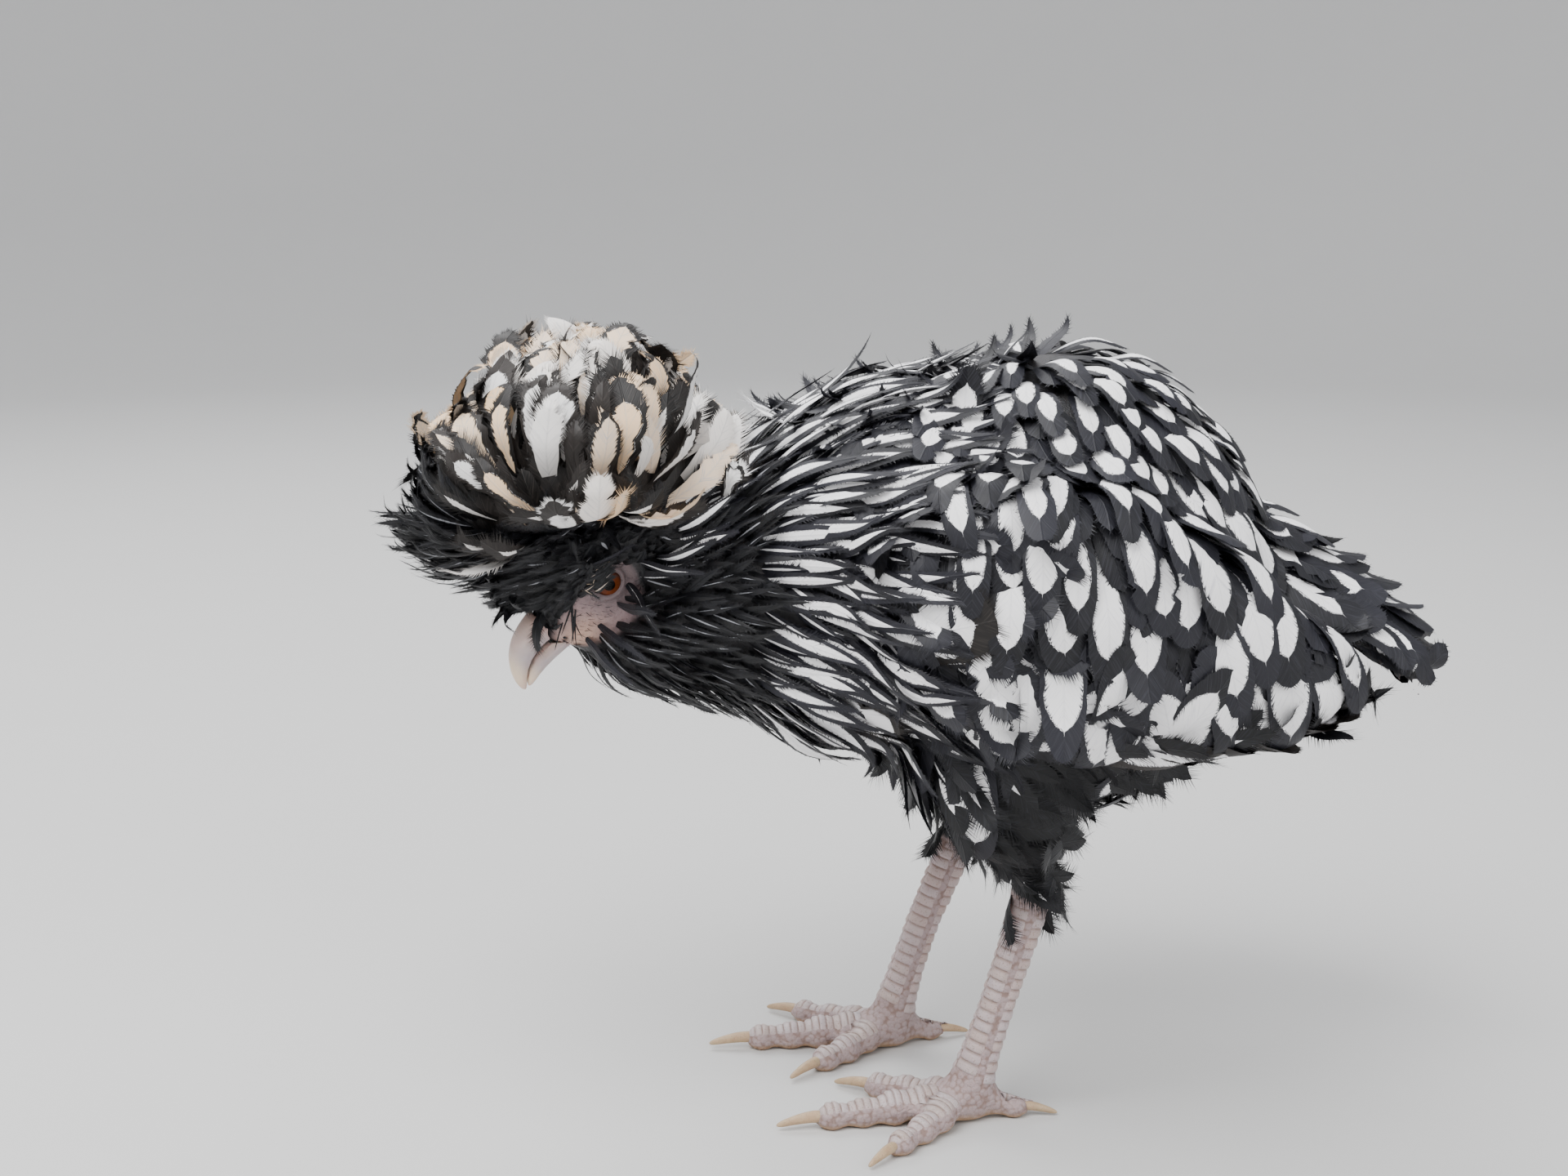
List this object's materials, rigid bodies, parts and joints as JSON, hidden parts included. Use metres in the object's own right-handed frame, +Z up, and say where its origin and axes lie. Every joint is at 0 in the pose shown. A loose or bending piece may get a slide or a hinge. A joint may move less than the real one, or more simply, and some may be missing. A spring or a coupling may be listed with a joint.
{
  "type": "polish crested chicken",
  "caption": "Life-size still model of a young crested hen with curled black feathers laced in white, standing with her head low and forward.",
  "frame": {"origin": "on the floor, under the middle of the hen's box", "axes": "+Z up, -Y the way that she faces, +X her left side"},
  "size_m": [0.1278, 0.2908, 0.2186],
  "materials": {
    "body_plumage": "satin",
    "crest_plumage": "matte",
    "quill_plumage": "satin",
    "face_skin": "matte",
    "bill_horn": "satin",
    "eye": "gloss",
    "leg_scales": "satin",
    "claw_horn": "satin"
  },
  "bodies": {
    "root": {"head": "face_skin", "crest": "crest_plumage", "bill_upper": "bill_horn", "bill_lower": "bill_horn", "eye_left": "eye", "eye_right": "eye", "neck": "body_plumage", "trunk": "body_plumage", "tail": "quill_plumage", "wing_left": "quill_plumage", "wing_right": "quill_plumage", "thigh_left": "body_plumage", "shank_left": "leg_scales", "toe_inner_left": "leg_scales", "claw_inner_left": "claw_horn", "toe_middle_left": "leg_scales", "claw_middle_left": "claw_horn", "toe_outer_left": "leg_scales", "claw_outer_left": "claw_horn", "toe_hind_left": "leg_scales", "claw_hind_left": "claw_horn", "thigh_right": "body_plumage", "shank_right": "leg_scales", "toe_inner_right": "leg_scales", "claw_inner_right": "claw_horn", "toe_middle_right": "leg_scales", "claw_middle_right": "claw_horn", "toe_outer_right": "leg_scales", "claw_outer_right": "claw_horn", "toe_hind_right": "leg_scales", "claw_hind_right": "claw_horn"}
  },
  "joints": []
}
